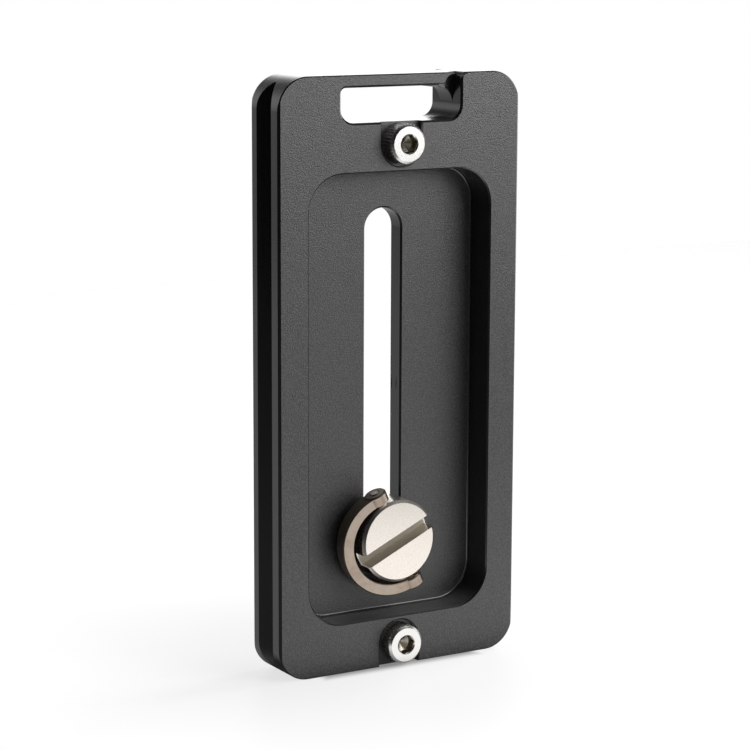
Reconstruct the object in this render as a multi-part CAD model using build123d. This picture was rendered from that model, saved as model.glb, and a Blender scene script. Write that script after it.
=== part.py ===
from build123d import *
import math
import os

# Quick release plate for a dovetail tripod clamp, standing on its short end.
# Everything is drawn on the bench: X across the plate, Y along it, Z towards the clamp side.
# The finished pieces are then stood up, which turns bench Y into +Z and the clamp side to -Y.
# All lengths are in millimetres.

# Plate blank
plate_width = 39.2
plate_length = 85.0
plate_thickness = 8.0
corner_radius = 4.6
long_edge_chamfer = 0.35
end_chamfer = 0.15

# Dovetail grooves along both long edges, with 45 degree flanks
clamp_lip = 2.07
camera_lip = 1.7
groove_root = 0.4

# Pocket on the clamp side
pocket_wall = 4.8
pocket_bottom_margin = 7.3
pocket_top_margin = 13.57
pocket_depth = 5.05
pocket_corner_radius = 5.3
pocket_floor_fillet = 0.3
mouth_chamfer = 0.2

# Screw slot through the pocket floor
slot_width = 5.9
slot_end_margin = 5.58
slot_chamfer = 0.25

# Tapped entry that lets the captive screw in and out
entry_offset = 0.7
thread_pitch = 1.27
thread_flank_angle = 60.0

# Strap slot and its bar, which is open at one end
strap_slot_width = 19.46
strap_slot_height = 4.86
strap_bar = 1.76
strap_lower_radius = 2.05
strap_upper_radius = 0.8
strap_chamfer = 0.3
gap_radius = 1.55
gap_inset = 1.2
gap_opening = 1.1
gap_flare = 0.9
bar_lip_height = 0.42
bar_lip_run = 1.1

# Stop screws in their notched counterbores
stop_wall = 0.67
counterbore_radius = 3.25
stop_proud = 2.0
stop_head_diameter = 5.5
stop_head_height = 3.0
stop_head_chamfer = 0.3
stop_shank_diameter = 3.0
stop_shank_length = 5.0
stop_tip_chamfer = 0.4
stop_hole_extra = 0.6
drill_point_angle = 118.0
socket_across_flats = 2.5
socket_depth = 1.5
socket_turn = 12.0

# Camera screw
screw_height = 18.27
head_diameter = 12.0
head_thickness = 4.9
head_chamfer = 0.4
head_rear_chamfer = 0.25
seat_gap = 0.1
neck_diameter = 4.8
thread_gap = 0.4
thread_diameter = 6.35
thread_reach = 5.2
thread_tip_chamfer = 0.7
thread_start_chamfer = 0.5
coin_slot_width = 2.05
coin_slot_depth = 2.45
screw_turn = 25.0

# Folding ring and its two pins
pivot_depth = 1.65
pin_diameter = 1.4
pin_grip = 2.2
pin_proud = 0.2
pin_end_chamfer = 0.15
eye_clearance = 0.05
ring_side_gap = 0.15
ring_drop = 0.05
ring_width = 1.55
ring_thickness = 2.6
ring_reach = 0.8
ring_inner_reach = 0.62
ring_edge_chamfer = 0.12
ring_sink_angle = 7.5
lug_radius = 1.65
lug_proud = 0.15
lug_chamfer = 0.2

# Derived places
clamp_face = plate_thickness / 2
camera_face = -plate_thickness / 2
pocket_width = plate_width - 2 * pocket_wall
pocket_length = plate_length - pocket_bottom_margin - pocket_top_margin
pocket_top = plate_length - pocket_top_margin
pocket_centre = pocket_bottom_margin + pocket_length / 2
pocket_floor = clamp_face - pocket_depth
floor_thickness = plate_thickness - pocket_depth
strap_slot_top = plate_length - strap_bar
strap_slot_bottom = strap_slot_top - strap_slot_height
upper_stop_height = pocket_top + stop_wall + counterbore_radius
lower_stop_height = pocket_bottom_margin - stop_wall - counterbore_radius
counterbore_depth = stop_head_height - stop_proud
stop_seat = clamp_face - counterbore_depth
stop_mouth_chamfer = min(mouth_chamfer, stop_wall * 0.3)
head_rear = pocket_floor + seat_gap
head_face = head_rear + head_thickness
pivot_level = head_face - pivot_depth
thread_start = camera_face - thread_gap
thread_end = camera_face - thread_reach
ring_inner = head_diameter / 2 + ring_side_gap
ring_outer = ring_inner + ring_width


def swell(profile, level, height):
    """A mouth cutter that widens upwards at 45 degrees from the profile."""
    return extrude(Pos(0, 0, level) * profile, height, taper=-45)


def narrow(profile, level, height):
    """The same for a mouth on the camera side, widening downwards."""
    return extrude(Pos(0, 0, level) * profile, -height, taper=-45)


def through_cut(profile, top, bottom, chamfer_size):
    """A hole through a wall, with both mouths broken."""
    body = extrude(Pos(0, 0, bottom) * profile, top - bottom)
    upper = swell(profile, top - chamfer_size, chamfer_size)
    lower = narrow(profile, bottom + chamfer_size, chamfer_size)
    return body + upper + lower


def plate_blank():
    """A length of extruded bar with broken long edges, then cut to its rounded outline."""
    outline = Pos(0, plate_length / 2) * RectangleRounded(plate_width, plate_length, corner_radius)
    blank = extrude(Pos(0, 0, camera_face) * outline, plate_thickness)
    rims = blank.faces().sort_by(Axis.Z)[-1].edges() + blank.faces().sort_by(Axis.Z)[0].edges()
    blank = chamfer(rims, end_chamfer)
    section = Rectangle(plate_width, plate_thickness)
    section = Plane.XZ * chamfer(section.vertices(), long_edge_chamfer)
    bar = extrude(Pos(0, plate_length + 1, 0) * section, plate_length + 2)
    return blank & bar


def dovetail_groove():
    """The V groove of the right edge, cut from end to end."""
    edge = plate_width / 2
    upper = clamp_face - clamp_lip
    lower = camera_face + camera_lip
    depth = (upper - lower - groove_root) / 2
    middle = (upper + lower) / 2
    overrun = depth
    section = Polyline(
        (edge + overrun, upper + overrun),
        (edge - depth, middle + groove_root / 2),
        (edge - depth, middle - groove_root / 2),
        (edge + overrun, lower - overrun),
        close=True,
    )
    face = Plane.XZ * make_face(section)
    return extrude(Pos(0, plate_length + 1, 0) * face, plate_length + 2)


def pocket_cutter():
    outline = Pos(0, pocket_centre) * RectangleRounded(pocket_width, pocket_length, pocket_corner_radius)
    cutter = extrude(Pos(0, 0, pocket_floor) * outline, pocket_depth)
    cutter = fillet(cutter.faces().sort_by(Axis.Z)[0].edges(), pocket_floor_fillet)
    return cutter + swell(outline, clamp_face - mouth_chamfer, mouth_chamfer)


def screw_slot_cutter():
    length = pocket_length - 2 * slot_end_margin
    outline = Pos(0, pocket_centre) * Rot(0, 0, 90) * SlotOverall(length, slot_width)
    return through_cut(outline, pocket_floor, camera_face, slot_chamfer)


def entry_threads():
    """Thread roots that reach past the slot's walls where the screw is wound in."""
    root = thread_diameter / 2
    crest = slot_width / 2 - 0.15
    half = (root - crest) * math.tan(math.radians(thread_flank_angle / 2))
    section = make_face(Polyline((crest, -half), (root, 0), (crest, half), close=True))
    ring = revolve(Plane.XZ * section, Axis.Z)
    lead_angle = math.degrees(math.atan(thread_pitch / (2 * thread_diameter)))
    turns = max(1, int(floor_thickness / thread_pitch))
    middle = (pocket_floor + camera_face) / 2
    rings = []
    for index in range(turns):
        level = middle + (index - (turns - 1) / 2) * thread_pitch
        rings.append(Pos(0, pocket_centre + entry_offset, level) * Rot(0, lead_angle, 0) * ring)
    return rings


def strap_slot_cutter():
    centre = (strap_slot_top + strap_slot_bottom) / 2
    opening = Pos(0, centre) * Rectangle(strap_slot_width, strap_slot_height)
    corners = opening.vertices().group_by(Axis.Y)
    opening = fillet(corners[0], strap_lower_radius)
    opening = fillet(opening.vertices().sort_by(Axis.Y)[-2:].sort_by(Axis.X)[0], strap_upper_radius)
    return through_cut(opening, clamp_face, camera_face, strap_chamfer)


def gap_flare_corner():
    """The rounded corner where the gap's right wall meets the plate's end."""
    wall = strap_slot_width / 2
    block = Pos(wall + gap_flare / 2, plate_length - gap_flare / 2) * Rectangle(gap_flare, gap_flare)
    return block - Pos(wall + gap_flare, plate_length - gap_flare) * Circle(gap_flare)


def bar_gap_cutter():
    """The gap that lets a strap loop slip off the bar, with a hooked bar end."""
    wall = strap_slot_width / 2
    centre = Pos(wall - gap_inset, strap_slot_top)
    bite = centre * Circle(gap_radius)
    mouth = Pos(wall - gap_opening / 2, plate_length) * Rectangle(gap_opening, 2 * strap_bar)
    keep = Pos(wall - 5 * gap_radius / 2, plate_length) * Rectangle(5 * gap_radius, 4 * strap_slot_height)
    shape = (bite & keep) + mouth + gap_flare_corner()
    return extrude(Pos(0, 0, camera_face) * shape, plate_thickness)


def gap_edge_cutter():
    """Carries the slot's edge break up the gap's right wall and round its flare."""
    wall = strap_slot_width / 2
    strip_width = gap_opening / 4
    strip_height = 2 * strap_bar + 1
    strip = Pos(wall - strip_width / 2, plate_length - strip_height / 2 + 1) * Rectangle(strip_width, strip_height)
    shape = strip + gap_flare_corner()
    upper = swell(shape, clamp_face - strap_chamfer, strap_chamfer)
    return upper + narrow(shape, camera_face + strap_chamfer, strap_chamfer)


def bar_lip():
    """The small hook that thickens the underside of the bar at its free end."""
    end = strap_slot_width / 2 - gap_inset - gap_radius * 0.9
    start = end - bar_lip_run
    low = strap_slot_top - bar_lip_height
    outline = make_face([
        Line((start, strap_slot_top + 0.3), (start, strap_slot_top)),
        Spline((start, strap_slot_top), (end - bar_lip_run * 0.3, low), tangents=((1, 0), (1, 0))),
        Line((end - bar_lip_run * 0.3, low), (end + 0.2, low)),
        Line((end + 0.2, low), (end + 0.2, strap_slot_top + 0.3)),
        Line((end + 0.2, strap_slot_top + 0.3), (start, strap_slot_top + 0.3)),
    ])
    depth = plate_thickness - 2 * end_chamfer
    return extrude(Pos(0, 0, camera_face + end_chamfer) * outline, depth)


def stop_cutter(height, open_towards):
    """Counterbore that runs out as a notch, with the tapped hole below it."""
    run = abs(open_towards - height)
    middle = (open_towards + height) / 2
    notch = Pos(0, middle) * Rectangle(2 * counterbore_radius, run)
    outline = notch + Pos(0, height) * Circle(counterbore_radius)
    pocket = extrude(Pos(0, 0, stop_seat) * outline, counterbore_depth)
    pocket += swell(outline, clamp_face - stop_mouth_chamfer, stop_mouth_chamfer)
    radius = stop_shank_diameter / 2
    hole_length = stop_shank_length + stop_hole_extra
    tip = radius / math.tan(math.radians(drill_point_angle / 2))
    hole = make_face(Polyline(
        (0, 0),
        (radius, 0),
        (radius, -hole_length),
        (0, -hole_length - tip),
        close=True,
    ))
    return pocket + Pos(0, height, stop_seat) * revolve(Plane.XZ * hole, Axis.Z)


def make_plate():
    groove = dovetail_groove()
    plate = plate_blank() - groove - mirror(groove, Plane.YZ)
    plate -= pocket_cutter()
    plate -= screw_slot_cutter()
    for ring in entry_threads():
        plate -= ring
    plate -= strap_slot_cutter()
    plate += bar_lip()
    plate -= bar_gap_cutter()
    plate -= gap_edge_cutter()
    plate -= stop_cutter(upper_stop_height, strap_slot_bottom + strap_slot_height / 2)
    plate -= stop_cutter(lower_stop_height, -1)
    return plate


def make_camera_screw():
    """Head, neck and thread turned from one bar, then slotted and cross drilled."""
    head = head_diameter / 2
    neck = neck_diameter / 2
    thread = thread_diameter / 2
    section = make_face(Polyline(
        (0, head_face),
        (head - head_chamfer, head_face),
        (head, head_face - head_chamfer),
        (head, head_rear + head_rear_chamfer),
        (head - head_rear_chamfer, head_rear),
        (neck, head_rear),
        (neck, thread_start),
        (thread - thread_start_chamfer, thread_start),
        (thread, thread_start - thread_start_chamfer),
        (thread, thread_end + thread_tip_chamfer),
        (thread - thread_tip_chamfer, thread_end),
        (0, thread_end),
        close=True,
    ))
    screw = revolve(Plane.XZ * section, Axis.Z)
    coin_slot = Box(2 * head_diameter, coin_slot_width, 2 * coin_slot_depth)
    screw -= Pos(0, 0, head_face) * coin_slot
    for side in (-1, 1):
        hole = Rot(90, 0, 0) * Cylinder(pin_diameter / 2, pin_grip + head_diameter)
        reach = head - pin_grip + (pin_grip + head_diameter) / 2
        screw -= Pos(0, side * reach, pivot_level) * hole
    return screw


def make_pin(side):
    """A plain pin, pressed into the head and proud of the ring's eye."""
    inner = head_diameter / 2 - pin_grip
    outer = ring_outer + pin_proud
    pin = Cylinder(pin_diameter / 2, outer - inner)
    pin = chamfer(pin.edges().group_by(Axis.Z)[-1], pin_end_chamfer)
    turned = Rot(-90 * side, 0, 0) * pin
    return Pos(0, side * (outer + inner) / 2, pivot_level) * turned


def bow(radius, reach):
    """The outline of the ring out to one radius: two straight legs and a half round."""
    legs = Pos(reach / 2, 0) * Rectangle(reach, 2 * radius)
    round_end = Pos(reach, 0) * Circle(radius)
    half = Pos(reach + radius, 0) * Rectangle(2 * radius, 2 * radius)
    return legs + (round_end & half)


def make_ring():
    """Drawn flat about its own pivot axis Y, then sunk and set on the pins."""
    outline = bow(ring_outer, ring_reach) - bow(ring_inner, ring_inner_reach)
    flat = extrude(outline, ring_thickness / 2, both=True)
    rims = flat.faces().sort_by(Axis.Z)[-1].edges() + flat.faces().sort_by(Axis.Z)[0].edges()
    long_rims = [edge for edge in rims if edge.center().X > 0.01]
    ring = chamfer(long_rims, ring_edge_chamfer)
    lug_length = ring_width + lug_proud
    for side in (-1, 1):
        lug = Rot(90, 0, 0) * Cylinder(lug_radius, lug_length)
        lug = chamfer(lug.edges().filter_by(GeomType.CIRCLE), lug_chamfer)
        place = Pos(0, side * (ring_inner + lug_length / 2), 0)
        eye = Rot(90, 0, 0) * Cylinder(pin_diameter / 2 + eye_clearance, 2 * lug_length)
        ring += place * lug
        ring -= place * eye
    return Pos(0, ring_drop, pivot_level) * Rot(0, ring_sink_angle, 0) * ring


def make_stop_screw(height):
    """Socket head cap screw, seated in its counterbore."""
    head = stop_head_diameter / 2
    shank = stop_shank_diameter / 2
    section = make_face(Polyline(
        (0, stop_head_height),
        (head - stop_head_chamfer, stop_head_height),
        (head, stop_head_height - stop_head_chamfer),
        (head, 0),
        (shank, 0),
        (shank, -stop_shank_length + stop_tip_chamfer),
        (shank - stop_tip_chamfer, -stop_shank_length),
        (0, -stop_shank_length),
        close=True,
    ))
    screw = revolve(Plane.XZ * section, Axis.Z)
    across = socket_across_flats / math.cos(math.radians(30)) / 2
    hexagon = Rot(0, 0, socket_turn) * RegularPolygon(across, 6)
    screw -= extrude(Pos(0, 0, stop_head_height - socket_depth) * hexagon, socket_depth + 1)
    cone_height = socket_across_flats / 2 * math.tan(math.radians(30))
    screw -= Pos(0, 0, stop_head_height - socket_depth - cone_height / 2) * Cone(
        0, socket_across_flats / 2, cone_height
    )
    lead_in = across - socket_across_flats / 2
    screw -= Pos(0, 0, stop_head_height - lead_in / 2) * Cone(
        socket_across_flats / 2, across, lead_in
    )
    return Pos(0, height, stop_seat) * screw


def stand(piece):
    """From the bench to the finished place, standing on the short end."""
    return Rot(90, 0, 0) * piece


def on_screw(piece):
    """From the screw's own axis to its place in the slot, turned as it lies."""
    return Pos(0, screw_height, 0) * Rot(0, 0, 180 + screw_turn) * piece


pieces = {
    "plate_body": make_plate(),
    "camera_screw": on_screw(make_camera_screw()),
    "pivot_pin_upper": on_screw(make_pin(-1)),
    "pivot_pin_lower": on_screw(make_pin(1)),
    "d_ring": on_screw(make_ring()),
    "upper_stop_screw": make_stop_screw(upper_stop_height),
    "lower_stop_screw": make_stop_screw(lower_stop_height),
}

os.makedirs("parts", exist_ok=True)
for name, piece in pieces.items():
    export_step(stand(piece), f"parts/{name}.step")
    print(name, round(piece.volume, 2))
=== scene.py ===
import math

import bmesh
import bpy
from mathutils import Matrix, Vector


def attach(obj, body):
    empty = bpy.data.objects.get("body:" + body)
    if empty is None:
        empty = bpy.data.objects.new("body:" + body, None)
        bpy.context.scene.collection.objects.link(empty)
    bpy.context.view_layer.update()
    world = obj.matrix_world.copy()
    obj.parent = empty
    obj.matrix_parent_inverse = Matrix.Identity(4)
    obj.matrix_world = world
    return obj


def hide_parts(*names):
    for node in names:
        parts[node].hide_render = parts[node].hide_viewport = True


# A dovetail quick release plate, standing on its short end on a white table.
# Metres throughout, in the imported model's frame: +X right, +Y into the picture, +Z up.

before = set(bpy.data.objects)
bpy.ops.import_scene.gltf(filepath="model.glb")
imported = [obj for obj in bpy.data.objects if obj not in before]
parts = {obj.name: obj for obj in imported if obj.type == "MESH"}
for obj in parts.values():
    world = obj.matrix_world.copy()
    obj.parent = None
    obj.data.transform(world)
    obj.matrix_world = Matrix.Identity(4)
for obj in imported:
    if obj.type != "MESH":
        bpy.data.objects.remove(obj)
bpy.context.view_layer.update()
mm = 0.001
print("frame loaded:", ", ".join(sorted(parts)))


# Node tree helpers

class Wire:
    # one value in a node tree, so that masks, patterns and shapes can be written as sums
    def __init__(self, owner, socket):
        self.owner = owner
        self.socket = socket

    def calc(self, operation, *others):
        values = dict(enumerate((self, *others)))
        return self.owner.node("ShaderNodeMath", {"operation": operation}, values)

    def __add__(self, other):
        return self.calc("ADD", other)

    def __sub__(self, other):
        return self.calc("SUBTRACT", other)

    def __mul__(self, other):
        return self.calc("MULTIPLY", other)

    def __truediv__(self, other):
        return self.calc("DIVIDE", other)

    def __rsub__(self, other):
        return (self * -1) + other

    __radd__ = __add__
    __rmul__ = __mul__

    def reach(self, other, spare=0.0):
        # the length of (self, other), kept above nothing by the spare
        return (self * self + other * other + spare).calc("POWER", 0.5)

    def ramp(self, low, high, start=0.0, end=1.0):
        # eases from start to end while the value goes from low to high
        settings = {"interpolation_type": "SMOOTHSTEP"}
        values = {"Value": self, "From Min": low, "From Max": high, "To Min": start, "To Max": end}
        return self.owner.node("ShaderNodeMapRange", settings, values)


class Nodes:
    # places nodes in one tree and links whatever Wire they are given
    def __init__(self, tree):
        self.tree = tree

    def node(self, kind, settings=None, values=None, out=0):
        made = self.tree.nodes.new(kind)
        for name, value in (settings or {}).items():
            setattr(made, name, value)
        for name, value in (values or {}).items():
            if isinstance(value, Wire):
                self.tree.links.new(value.socket, made.inputs[name])
            else:
                made.inputs[name].default_value = value
        return Wire(self, made.outputs[out])

    def parts(self, vector):
        return [self.node("ShaderNodeSeparateXYZ", None, {0: vector}, out=axis) for axis in "XYZ"]


class Finish(Nodes):
    # the node tree of one material or of the world
    def __init__(self, owner):
        owner.use_nodes = True
        self.owner = owner
        super().__init__(owner.node_tree)
        self.tree.nodes.clear()

    def blend(self, share, first, second):
        values = {0: share, 6: first, 7: second}
        return self.node("ShaderNodeMix", {"data_type": "RGBA"}, values, out=2)

    def noise(self, place, size, detail=2.0, roughness=0.6):
        values = {"Vector": place, "Scale": 1 / size, "Detail": detail, "Roughness": roughness}
        return self.node("ShaderNodeTexNoise", None, values)

    def lines(self, along, pitch):
        # noise that varies along one value alone, as tool marks do
        values = {"W": along / pitch, "Scale": 1.0, "Detail": 2.0}
        return self.node("ShaderNodeTexNoise", {"noise_dimensions": "1D"}, values)

    def levels(self, share, stops):
        # grey levels joined by straight lines, at places from 0 to 1
        made = self.node("ShaderNodeValToRGB", None, {0: share})
        elements = made.socket.node.color_ramp.elements
        elements.remove(elements[1])
        for index, (place, level) in enumerate(stops):
            stop = elements.new(place) if index else elements[0]
            stop.position = place
            stop.color = grey(level)
        return made

    def bump(self, height, distance):
        return self.node("ShaderNodeBump", None, {"Strength": 1.0, "Distance": distance, "Height": height})

    def place(self, out="Object"):
        return self.node("ShaderNodeTexCoord", None, None, out=out)

    def shown(self, shader, kind="ShaderNodeOutputMaterial"):
        output = self.tree.nodes.new(kind)
        self.tree.links.new(shader.socket, output.inputs["Surface"])


class Shape(Nodes):
    # a Geometry Nodes tree with one named input for each size
    def __init__(self, name, sizes):
        super().__init__(bpy.data.node_groups.new(name, "GeometryNodeTree"))
        self.sizes = sizes
        face = self.tree.interface
        face.new_socket(name="Mesh", in_out="OUTPUT", socket_type="NodeSocketGeometry")
        self.keys = {}
        for label, value in sizes.items():
            kind = "NodeSocketInt" if isinstance(value, int) else "NodeSocketFloat"
            self.keys[label] = face.new_socket(name=label, in_out="INPUT", socket_type=kind).identifier
        self.given = self.tree.nodes.new("NodeGroupInput")

    def size(self, label):
        return Wire(self, self.given.outputs[label])

    def point(self, x, y, z):
        return self.node("ShaderNodeCombineXYZ", None, {"X": x, "Y": y, "Z": z})

    def built(self, result, finish):
        # runs the tree once and gives the plain mesh
        solid = self.node("GeometryNodeRealizeInstances", None, {"Geometry": result})
        solid = self.node("GeometryNodeSetMaterial", None, {"Geometry": solid, "Material": finish})
        output = self.tree.nodes.new("NodeGroupOutput")
        self.tree.links.new(solid.socket, output.inputs[0])
        carrier = bpy.data.objects.new(self.tree.name, bpy.data.meshes.new(self.tree.name))
        bpy.context.scene.collection.objects.link(carrier)
        modifier = carrier.modifiers.new("shape", "NODES")
        modifier.node_group = self.tree
        for label, value in self.sizes.items():
            modifier[self.keys[label]] = value
        evaluated = carrier.evaluated_get(bpy.context.evaluated_depsgraph_get())
        mesh = bpy.data.meshes.new_from_object(evaluated)
        bpy.data.objects.remove(carrier)
        return mesh


def newMaterial(name):
    return Finish(bpy.data.materials.new(name))


def grey(level):
    return (level, level, level, 1.0)


# Finishes. A pair of numbers gives the two ends of a ramp, and a spread says how far a pattern moves a value.

anodised = {
    "colour": (0.0020, 0.0020, 0.0022, 1.0),
    "paler": (0.036, 0.0348, 0.0342, 1.0),
    "wallColour": (0.006, 0.006, 0.0065, 1.0),
    "ledgeLightColour": (0.045, 0.0435, 0.042, 1.0),
    "specular": 0.75,
    "roughness": 0.40,
    "wallRoughness": 0.21,
    "wallSpread": 0.12,
    "flatFrom": (0.96, 0.995),
    "ledgeFrom": (0.6, 0.95),
    "blastSize": 0.18 * mm,
    "blastHeight": 0.055 * mm,
    "blastPale": (0.43, 0.61),
    "blastSpread": 0.20,
    "cloudSize": 9 * mm,
    "cloudSpread": 0.10,
    "markPitch": 0.30 * mm,
    "markHeight": 0.010 * mm,
    "smudgePlace": (6.5 * mm, 1.05 * mm, 51.0 * mm),
    "smudgeReach": 16.0 * mm,
    "smudgeClouds": (0.42, 0.60),
    "smudgeSpread": 0.06,
}


def cutterMarks(skin, place):
    # the end mill leaves lines along the cut walls, at one depth each
    depth = skin.parts(place)[1]
    return skin.lines(depth, anodised["markPitch"])


def wallRoughness(marks):
    return (marks - 0.5) * anodised["wallSpread"] + anodised["wallRoughness"]


def makeAnodised(name):
    # the flats are bead blasted, the cut walls glossy, the upward ledges carry painted light from above, and
    # the pocket has a smudge
    skin = newMaterial(name)
    place = skin.place()
    facing, upward = skin.parts(skin.place("Normal"))[1:]
    flat = facing.calc("ABSOLUTE").ramp(*anodised["flatFrom"])
    blast = skin.noise(place, anodised["blastSize"], roughness=0.65)
    cloud = skin.noise(place, anodised["cloudSize"], 3.0, 0.55)
    ends = {0: place, 1: anodised["smudgePlace"]}
    away = skin.node("ShaderNodeVectorMath", {"operation": "DISTANCE"}, ends, out="Value")
    smudge = away.ramp(0.0, anodised["smudgeReach"], 1.0, 0.0) * cloud.ramp(*anodised["smudgeClouds"])
    speckled = skin.blend(blast.ramp(*anodised["blastPale"]), anodised["colour"], anodised["paler"])
    # painted light: walls that face upwards get a lighter colour, as light from above would make them
    litFromAbove = upward.ramp(*anodised["ledgeFrom"])
    wallsLitFromAbove = skin.blend(litFromAbove, anodised["wallColour"], anodised["ledgeLightColour"])
    blasted = (cloud - 0.5) * anodised["cloudSpread"] + (blast - 0.5) * anodised["blastSpread"]
    blasted = blasted + smudge * anodised["smudgeSpread"] + anodised["roughness"]
    marks = cutterMarks(skin, place)
    relief = blast * flat + marks * (1 - flat) * (anodised["markHeight"] / anodised["blastHeight"])
    shader = skin.node("ShaderNodeBsdfPrincipled", None, {
        "Base Color": skin.blend(flat, wallsLitFromAbove, speckled),
        "Roughness": flat * blasted + (1 - flat) * wallRoughness(marks),
        "Specular IOR Level": anodised["specular"],
        "Normal": skin.bump(relief, anodised["blastHeight"]),
    })
    skin.shown(shader)
    return skin.owner


def makeCutAnodised(name):
    # glossy all over, for what a cutter made in one pass
    skin = newMaterial(name)
    marks = cutterMarks(skin, skin.place())
    shader = skin.node("ShaderNodeBsdfPrincipled", None, {
        "Base Color": anodised["wallColour"],
        "Roughness": wallRoughness(marks),
        "Specular IOR Level": anodised["specular"],
        "Normal": skin.bump(marks, anodised["markHeight"]),
    })
    skin.shown(shader)
    return skin.owner


def metal(skin, colour, roughness, normal):
    shader = skin.node("ShaderNodeBsdfPrincipled", None, {
        "Base Color": colour,
        "Metallic": 1.0,
        "Roughness": roughness,
        "Normal": normal,
    })
    skin.shown(shader)
    return skin.owner


turnedSteel = {
    "colour": (0.73, 0.68, 0.625, 1.0),
    "darker": (0.61, 0.565, 0.52, 1.0),
    "darkerFrom": (0.4, 0.8),
    "darkerShare": 0.6,
    "roughness": 0.27,
    "grainSize": 0.14 * mm,
    "grainSpread": 0.12,
    "markPitch": 0.09 * mm,
    "markHeight": 0.0016 * mm,
    "markSpread": 0.05,
    "axisHeight": 18.27 * mm,
    "slotShadeColour": (0.36, 0.333, 0.285, 1.0),
    "slotFrom": (-3.93 * mm, -3.75 * mm),
    "slotTo": (-1.4 * mm, -1.3 * mm),
    "slotRim": (5.75 * mm, 5.9 * mm),
    "slotSpread": 0.12,
}


def makeTurnedSteel(name):
    # lathe marks run round the screw's own axis, and the coin slot is rougher and darkened by painted shade
    skin = newMaterial(name)
    place = skin.place()
    across, along, height = skin.parts(place)
    radius = across.reach(height - turnedSteel["axisHeight"])
    marks = skin.lines(radius + along, turnedSteel["markPitch"])
    grain = skin.noise(place, turnedSteel["grainSize"])
    darker = grain.ramp(*turnedSteel["darkerFrom"], 0.0, turnedSteel["darkerShare"])
    colour = skin.blend(darker, turnedSteel["colour"], turnedSteel["darker"])
    # painted shade: the colour inside the coin slot is darker, as shade in the recess would make it
    inSlot = along.ramp(*turnedSteel["slotFrom"]) * along.ramp(*turnedSteel["slotTo"], 1.0, 0.0)
    inSlot = inSlot * radius.ramp(*turnedSteel["slotRim"], 1.0, 0.0)
    colour = skin.blend(inSlot, colour, turnedSteel["slotShadeColour"])
    roughness = turnedSteel["roughness"] + (grain - 0.5) * turnedSteel["grainSpread"]
    roughness = roughness + (marks - 0.5) * turnedSteel["markSpread"] + inSlot * turnedSteel["slotSpread"]
    return metal(skin, colour, roughness, skin.bump(marks, turnedSteel["markHeight"]))


ringSteel = {
    "colour": (0.34, 0.285, 0.235, 1.0),
    "warmer": (0.28, 0.22, 0.175, 1.0),
    "stainSize": 2.2 * mm,
    "stainFrom": (0.4, 0.7),
    "roughness": 0.30,
    "grainSize": 0.16 * mm,
    "grainHeight": 0.002 * mm,
    "grainSpread": 0.16,
}


def makeRingSteel(name):
    skin = newMaterial(name)
    place = skin.place()
    grain = skin.noise(place, ringSteel["grainSize"])
    stain = skin.noise(place, ringSteel["stainSize"], 3.0)
    colour = skin.blend(stain.ramp(*ringSteel["stainFrom"]), ringSteel["colour"], ringSteel["warmer"])
    roughness = ringSteel["roughness"] + (grain - 0.5) * ringSteel["grainSpread"]
    return metal(skin, colour, roughness, skin.bump(grain, ringSteel["grainHeight"]))


brightSteel = {
    "colour": (0.69, 0.68, 0.66, 1.0),
    "roughness": 0.27,
    "grainSize": 0.12 * mm,
    "grainHeight": 0.0012 * mm,
    "grainSpread": 0.14,
    "socketShadeColour": (0.30, 0.275, 0.225, 1.0),
    "socketFrom": (-5.9 * mm, -5.6 * mm),
    "socketRim": (1.52 * mm, 1.54 * mm),
    "lowerAxis": 3.38 * mm,
    "upperAxis": 75.35 * mm,
}


def makeBrightSteel(name):
    # the height is folded halfway between the two stops, so that one mask paints shade into both sockets
    skin = newMaterial(name)
    place = skin.place()
    grain = skin.noise(place, brightSteel["grainSize"])
    across, along, height = skin.parts(place)
    between = (brightSteel["lowerAxis"] + brightSteel["upperAxis"]) / 2
    fromAxis = (height - between).calc("ABSOLUTE") - (brightSteel["upperAxis"] - between)
    radius = across.reach(fromAxis)
    inSocket = along.ramp(*brightSteel["socketFrom"]) * radius.ramp(*brightSteel["socketRim"], 1.0, 0.0)
    # painted shade: the colour inside each stop's socket is darker
    colour = skin.blend(inSocket, brightSteel["colour"], brightSteel["socketShadeColour"])
    roughness = brightSteel["roughness"] + (grain - 0.5) * brightSteel["grainSpread"]
    return metal(skin, colour, roughness, skin.bump(grain, brightSteel["grainHeight"]))


blackFinish = makeAnodised("blackAnodised")
cutFinish = makeCutAnodised("cutAnodised")
screwFinish = makeTurnedSteel("turnedSteel")
ringFinish = makeRingSteel("satinRing")
stopFinish = makeBrightSteel("brightSteel")
print("finishes made")


def dress(node, finish):
    part = parts[node]
    part.data.materials.clear()
    part.data.materials.append(finish)


dress("plate_body", blackFinish)
dress("camera_screw", screwFinish)
dress("pivot_pin_upper", screwFinish)
dress("pivot_pin_lower", screwFinish)
dress("d_ring", ringFinish)
dress("upper_stop_screw", stopFinish)
dress("lower_stop_screw", stopFinish)


# The camera thread, on a copy of the screw cut off behind its neck

studThread = {
    "majorRadius": 3.175 * mm,
    "rootRadius": 2.49 * mm,
    "pitch": 1.27 * mm,
    "length": 4.815 * mm,
    "startRadius": 2.675 * mm,
    "tipRadius": 2.475 * mm,
    "rows": 72,
    "pointsRound": 96,
}
studStart = 4.385 * mm
studCut = studStart + 0.005 * mm
crestShare = 1 / 16
flankSlope = math.tan(math.radians(60))


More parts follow.
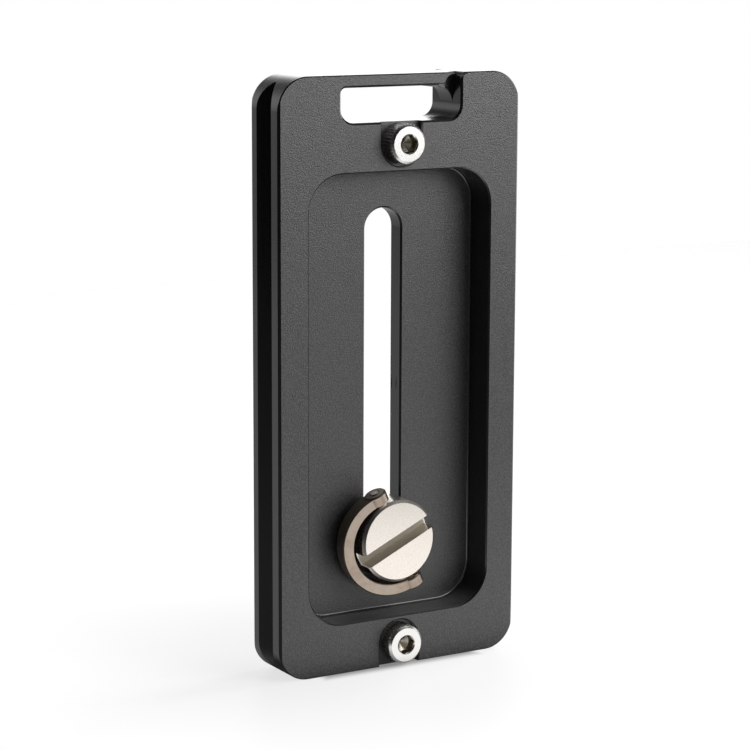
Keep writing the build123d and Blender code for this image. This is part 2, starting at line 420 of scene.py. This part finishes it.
def makeThread(finish):
    shape = Shape("studThread", studThread)
    bar = shape.node("GeometryNodeMeshCylinder", {"fill_type": "NGON"}, {
        "Vertices": shape.size("pointsRound"),
        "Side Segments": shape.size("rows"),
        "Radius": shape.size("majorRadius"),
        "Depth": shape.size("length"),
    }, out="Mesh")
    across, deep, along = shape.parts(shape.node("GeometryNodeInputPosition"))
    turned = deep.calc("ARCTAN2", across)
    height = along + shape.size("length") * 0.5
    lead = (height / shape.size("pitch") - turned / (2 * math.pi)).calc("FRACT")
    fromCrest = (lead - 0.5).calc("ABSOLUTE") * shape.size("pitch")
    drop = (fromCrest - shape.size("pitch") * crestShare) * flankSlope
    drop = drop.calc("MAXIMUM", 0.0)
    radius = (shape.size("majorRadius") - drop).calc("MAXIMUM", shape.size("rootRadius"))
    radius = radius.calc("MINIMUM", shape.size("startRadius") + height)
    radius = radius.calc("MINIMUM", shape.size("tipRadius") + shape.size("length") - height)
    spot = shape.point(turned.calc("COSINE") * radius, turned.calc("SINE") * radius, along)
    bar = shape.node("GeometryNodeSetPosition", None, {"Geometry": bar, "Position": spot})
    bar = shape.node("GeometryNodeTransform", None, {
        "Geometry": bar,
        "Translation": (0.0, studStart + studThread["length"] / 2, turnedSteel["axisHeight"]),
        "Rotation": (math.radians(-90), 0.0, 0.0),
    })
    return shape.built(bar, finish)


def smoothed(mesh, name, sharpFrom=20):
    mesh.shade_smooth()
    mesh.set_sharp_from_angle(angle=math.radians(sharpFrom))
    made = bpy.data.objects.new(name, mesh)
    bpy.context.scene.collection.objects.link(made)
    return made


def makeThreadedScrew():
    work = bmesh.new()
    work.from_mesh(parts["camera_screw"].data)
    bmesh.ops.remove_doubles(work, verts=work.verts[:], dist=0.0005 * mm)
    everything = work.verts[:] + work.edges[:] + work.faces[:]
    cut = bmesh.ops.bisect_plane(
        work, geom=everything, dist=0.0001 * mm, plane_co=(0.0, studCut, 0.0), plane_no=(0.0, 1.0, 0.0),
        clear_outer=True,
    )
    rim = [edge for edge in cut["geom_cut"] if isinstance(edge, bmesh.types.BMEdge)]
    bmesh.ops.contextual_create(work, geom=rim)
    work.from_mesh(makeThread(screwFinish))
    mesh = bpy.data.meshes.new("threadedScrew")
    work.to_mesh(mesh)
    work.free()
    for kept in [layer for layer in mesh.attributes if layer.name == "custom_normal"]:
        mesh.attributes.remove(kept)
    mesh.materials.append(screwFinish)
    screw = smoothed(mesh, "threadedScrew", 28)
    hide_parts("camera_screw")
    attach(screw, "screw")


makeThreadedScrew()
print("thread cut")


# Knurled ridges round the heads of the two stop screws

stopKnurl = {
    "ridges": 38,
    "innerRadius": 2.45 * mm,
    "valleyRadius": 2.70 * mm,
    "crestRadius": 2.83 * mm,
    "height": 2.62 * mm,
    "edge": 0.12 * mm,
    "lowerHead": brightSteel["lowerAxis"],
    "upperHead": brightSteel["upperAxis"],
    "seat": 3.02 * mm,
}
sleeveSteps = 5


def makeKnurls(finish):
    # the sleeve's six rings: foot inside, foot outside, edge below, edge above, top inside, foot again
    shape = Shape("stopKnurls", stopKnurl)
    sleeve = shape.node("GeometryNodeMeshCylinder", {"fill_type": "NONE"}, {
        "Vertices": shape.size("ridges") * 4,
        "Side Segments": sleeveSteps,
        "Radius": shape.size("crestRadius"),
        "Depth": float(sleeveSteps),
    }, out="Mesh")
    across, deep, along = shape.parts(shape.node("GeometryNodeInputPosition"))
    turned = deep.calc("ARCTAN2", across)
    row = along + sleeveSteps / 2
    wave = ((turned * shape.size("ridges") / (2 * math.pi)).calc("FRACT") - 0.5).calc("ABSOLUTE") * 2
    ridge = wave * (shape.size("crestRadius") - shape.size("valleyRadius")) + shape.size("valleyRadius")
    outside = (row - 2).calc("ABSOLUTE").calc("LESS_THAN", 1.5)
    top = row.calc("COMPARE", 3.0, 0.5)
    radius = shape.size("innerRadius") + outside * (ridge - shape.size("innerRadius"))
    radius = radius - top * shape.size("edge")
    shoulder = row.calc("COMPARE", 2.0, 0.5) * (shape.size("height") - shape.size("edge"))
    height = (row - 3.5).calc("ABSOLUTE").calc("LESS_THAN", 1.0) * shape.size("height") + shoulder
    spot = shape.point(turned.calc("COSINE") * radius, turned.calc("SINE") * radius, height)
    sleeve = shape.node("GeometryNodeSetPosition", None, {"Geometry": sleeve, "Position": spot})
    sleeve = shape.node("GeometryNodeMergeByDistance", None, {"Geometry": sleeve, "Distance": 0.001 * mm})
    forward = (math.radians(90), 0.0, 0.0)
    sleeve = shape.node("GeometryNodeTransform", None, {"Geometry": sleeve, "Rotation": forward})
    heads = shape.node("GeometryNodeMeshLine", None, {
        "Count": 2,
        "Start Location": shape.point(0.0, shape.size("seat") * -1, shape.size("lowerHead")),
        "Offset": shape.point(0.0, 0.0, shape.size("upperHead") - shape.size("lowerHead")),
    })
    both = shape.node("GeometryNodeInstanceOnPoints", None, {"Points": heads, "Instance": sleeve})
    return shape.built(both, finish)


knurls = smoothed(makeKnurls(stopFinish), "stopKnurls")
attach(knurls, "plate")
print("heads knurled")


# The web that closes the corner of the strap slot in the middle of the thickness, which the solids leave open

strapWeb = {
    "wall": 9.73 * mm,
    "slotTop": 83.24 * mm,
    "plateTop": 84.99 * mm,
    "front": -1.60 * mm,
    "rear": 1.65 * mm,
    "radius": 2.85 * mm,
    "segments": 28,
    "intoBar": 3.4 * mm,
    "intoPlate": 0.95 * mm,
    "barLap": 0.3 * mm,
    "firstAngle": 4.0,
}


def makeStrapWeb(finish):
    # the outline starts on the slot's end wall and turns a quarter round up to the bar
    wall, radius = strapWeb["wall"], strapWeb["radius"]
    low = strapWeb["slotTop"] - radius
    outline = []
    for step in range(strapWeb["segments"] + 1):
        share = step / strapWeb["segments"]
        angle = math.radians(strapWeb["firstAngle"] + share * (90 - strapWeb["firstAngle"]))
        outline.append((wall - radius + radius * math.cos(angle), low + radius * math.sin(angle)))
    outline += [
        (wall - strapWeb["intoBar"], strapWeb["slotTop"] + strapWeb["barLap"]),
        (wall - strapWeb["intoBar"], strapWeb["plateTop"]),
        (wall + strapWeb["intoPlate"], strapWeb["plateTop"]),
        (wall + strapWeb["intoPlate"], outline[0][1]),
    ]
    work = bmesh.new()
    front = [work.verts.new((x, strapWeb["front"], z)) for x, z in outline]
    rear = [work.verts.new((x, strapWeb["rear"], z)) for x, z in outline]
    work.faces.new(front)
    work.faces.new(rear)
    for index, corner in enumerate(front):
        following = (index + 1) % len(front)
        work.faces.new((corner, front[following], rear[following], rear[index]))
    bmesh.ops.recalc_face_normals(work, faces=work.faces[:])
    mesh = bpy.data.meshes.new("strapWeb")
    work.to_mesh(mesh)
    work.free()
    mesh.materials.append(finish)
    return mesh


web = smoothed(makeStrapWeb(cutFinish), "strapWeb")
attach(web, "plate")
print("strap slot's corner closed")


# Table, light and camera

studio = {
    "tableHalf": 0.36,
    "tableColour": 0.88,
    "tableRoughness": 0.45,
    "tableSpecular": 0.4,
    "tableGlow": 1.16,
    "glowNear": 1.02,
    "glowFrom": (0.015, 0.06),
    # half the plate's width and half its thickness
    "footprint": (0.0196, 0.0040),
    "footprintFade": 0.008,
    "contactHalf": 0.0115,
    "paintedShadowFade": (-0.0002, 0.0024),
    "paintedShadowLevel": 0.30,
    "shadowShare": 0.28,
    # how bright the table is in reflections, at a distance from the plate's middle
    "mirroredNear": (0.03, 1.5),
    "mirroredMiddle": (0.086, 1.66),
    "mirroredFar": (0.126, 0.04),
    "mirroredBehind": 0.58,
    "behindFrom": (0.0, 0.012),
    # a place beside the plate and the direction in which painted shade darkens the table in reflections
    "darkCorner": (-0.0215, -0.0040),
    "darkSide": (-0.86, -0.51),
    "darkFrom": (0.35, 0.80),
    "darkLevel": 0.03,
    "sidePlace": (0.34, 0.03, 0.25),
    "sideSize": 0.20,
    "sidePower": 1.35,
    "frontPlace": (0.11, -0.17, 0.145),
    "frontSize": 0.15,
    "frontPower": 0.33,
    "lampTarget": (0.0, 0.0, 0.045),
    # the room's bright side, and its brightness from the opposite side (0) to that one (1)
    "brightSide": (0.976, 0.217),
    "airLevels": ((0.10, 0.015), (0.36, 0.95), (0.64, 1.2), (0.81, 2.3)),
    "airCeiling": 2.5,
    "overhead": 0.06,
    "overheadFrom": (0.22, 0.55),
    "horizon": 0.36,
    "horizonFrom": (-0.12, 0.08),
}


def makeWorld():
    # white to the camera; to everything else a room that is dark at the left front and overhead
    world = bpy.data.worlds.new("studioAir")
    bpy.context.scene.world = world
    air = Finish(world)
    across, deep, high = air.parts(air.place("Generated"))
    facing = across * studio["brightSide"][0] + deep * studio["brightSide"][1]
    facing = facing / across.reach(deep, 0.0001)
    stops = [(place, level / studio["airCeiling"]) for place, level in studio["airLevels"]]
    room = air.levels(facing * 0.5 + 0.5, stops) * studio["airCeiling"]
    room = room * high.ramp(*studio["horizonFrom"], studio["horizon"], 1.0)
    room = room * high.ramp(*studio["overheadFrom"], 1.0, studio["overhead"])
    seen = air.node("ShaderNodeLightPath", out="Is Camera Ray")
    strength = seen + (1 - seen) * room
    shader = air.node("ShaderNodeBackground", None, {"Color": grey(1.0), "Strength": strength})
    air.shown(shader, "ShaderNodeOutputWorld")


def mirroredTable(across, deep, away, outFront):
    # a glow seen only in reflections, a painted reflection of a lit table: bright near the plate, with
    # painted shade far off, under the plate and to the left front
    near, middle, far = studio["mirroredNear"], studio["mirroredMiddle"], studio["mirroredFar"]
    level = away.ramp(near[0], middle[0], near[1], middle[1])
    level = level + away.ramp(middle[0], far[0], 0.0, far[1] - middle[1])
    behind = deep.ramp(*studio["behindFrom"])
    level = level * (1 - behind) + behind * studio["mirroredBehind"]
    beside = (across.calc("ABSOLUTE") - studio["footprint"][0]).calc("MAXIMUM", outFront)
    level = level * beside.ramp(0.0, studio["footprintFade"], studio["darkLevel"], 1.0)
    fromCornerAcross = across - studio["darkCorner"][0]
    fromCornerDeep = deep - studio["darkCorner"][1]
    towardsDark = fromCornerAcross * studio["darkSide"][0] + fromCornerDeep * studio["darkSide"][1]
    towardsDark = towardsDark / (fromCornerAcross.reach(fromCornerDeep) + 0.0001)
    return level * towardsDark.ramp(*studio["darkFrom"], 1.0, studio["darkLevel"])


def whiteTable():
    # the paper glows for the camera and in reflections, and keeps the soft shadow; along the plate's foot the
    # glow the camera sees carries a painted shadow
    top = newMaterial("whiteTable")
    paper = top.node("ShaderNodeBsdfPrincipled", None, {
        "Base Color": grey(studio["tableColour"]),
        "Roughness": studio["tableRoughness"],
        "Specular IOR Level": studio["tableSpecular"],
    })
    seen = top.node("ShaderNodeLightPath", out="Is Camera Ray")
    mirrored = top.node("ShaderNodeLightPath", out="Is Glossy Ray")
    across, deep = top.parts(top.place())[:2]
    away = across.reach(deep, 0.000001)
    outFront = deep.calc("ABSOLUTE") - studio["footprint"][1]
    touching = (across.calc("ABSOLUTE") - studio["contactHalf"]).calc("MAXIMUM", outFront)
    shown = away.ramp(*studio["glowFrom"], studio["glowNear"], studio["tableGlow"])
    # painted shadow: the glow the camera sees darkens along the plate's foot
    shown = shown * touching.ramp(*studio["paintedShadowFade"], studio["paintedShadowLevel"], 1.0)
    colour = top.blend(seen, mirroredTable(across, deep, away, outFront), shown)
    glow = top.node("ShaderNodeEmission", None, {"Color": colour, "Strength": 1.0})
    share = (seen + mirrored).calc("MINIMUM", 1.0) * (1 - studio["shadowShare"])
    top.shown(top.node("ShaderNodeMixShader", None, {0: share, 1: paper, 2: glow}))
    return top.owner


def makeTable():
    half = studio["tableHalf"]
    corners = [(-half, -half, 0), (half, -half, 0), (half, half, 0), (-half, half, 0)]
    mesh = bpy.data.meshes.new("table")
    mesh.from_pydata(corners, [], [(0, 1, 2, 3)])
    mesh.materials.append(whiteTable())
    table = bpy.data.objects.new("table", mesh)
    bpy.context.scene.collection.objects.link(table)


def addLamp(name, place, size, power, mirrored):
    data = bpy.data.lights.new(name, "AREA")
    data.shape = "SQUARE"
    data.size = size
    data.energy = power
    lamp = bpy.data.objects.new(name, data)
    lamp.visible_glossy = mirrored
    lamp.visible_camera = False
    lamp.location = place
    aim = Vector(studio["lampTarget"]) - Vector(place)
    lamp.rotation_euler = aim.to_track_quat("-Z", "Y").to_euler()
    bpy.context.scene.collection.objects.link(lamp)


viewpoint = {
    "place": (-177.61 * mm, -296.18 * mm, 104.51 * mm),
    "yaw": 30.6825,
    "pitch": 10.2776,
    "roll": 0.2167,
    "focalPixels": 2451.83,
    "picturePixels": 750,
    "sensorWidth": 36.0,
    "clip": (0.01, 20.0),
}


def makeCamera():
    yaw, pitch, roll = (math.radians(viewpoint[name]) for name in ("yaw", "pitch", "roll"))
    forward = Vector((math.sin(yaw) * math.cos(pitch), math.cos(yaw) * math.cos(pitch), -math.sin(pitch)))
    level = Vector((math.cos(yaw), -math.sin(yaw), 0.0))
    upward = level.cross(forward)
    right = level * math.cos(roll) + upward * math.sin(roll)
    top = upward * math.cos(roll) - level * math.sin(roll)
    turn = Matrix((right, top, -forward)).transposed()
    data = bpy.data.cameras.new("camera")
    data.sensor_width = viewpoint["sensorWidth"]
    data.lens = viewpoint["focalPixels"] / viewpoint["picturePixels"] * viewpoint["sensorWidth"]
    data.clip_start, data.clip_end = viewpoint["clip"]
    camera = bpy.data.objects.new("camera", data)
    camera.rotation_euler = turn.to_euler()
    camera.location = viewpoint["place"]
    bpy.context.scene.collection.objects.link(camera)
    bpy.context.scene.camera = camera


makeWorld()
makeTable()
addLamp("sideLamp", studio["sidePlace"], studio["sideSize"], studio["sidePower"], False)
addLamp("frontLamp", studio["frontPlace"], studio["frontSize"], studio["frontPower"], True)
makeCamera()
bpy.context.scene.view_settings.view_transform = "Standard"
print("table, lamps and camera set")
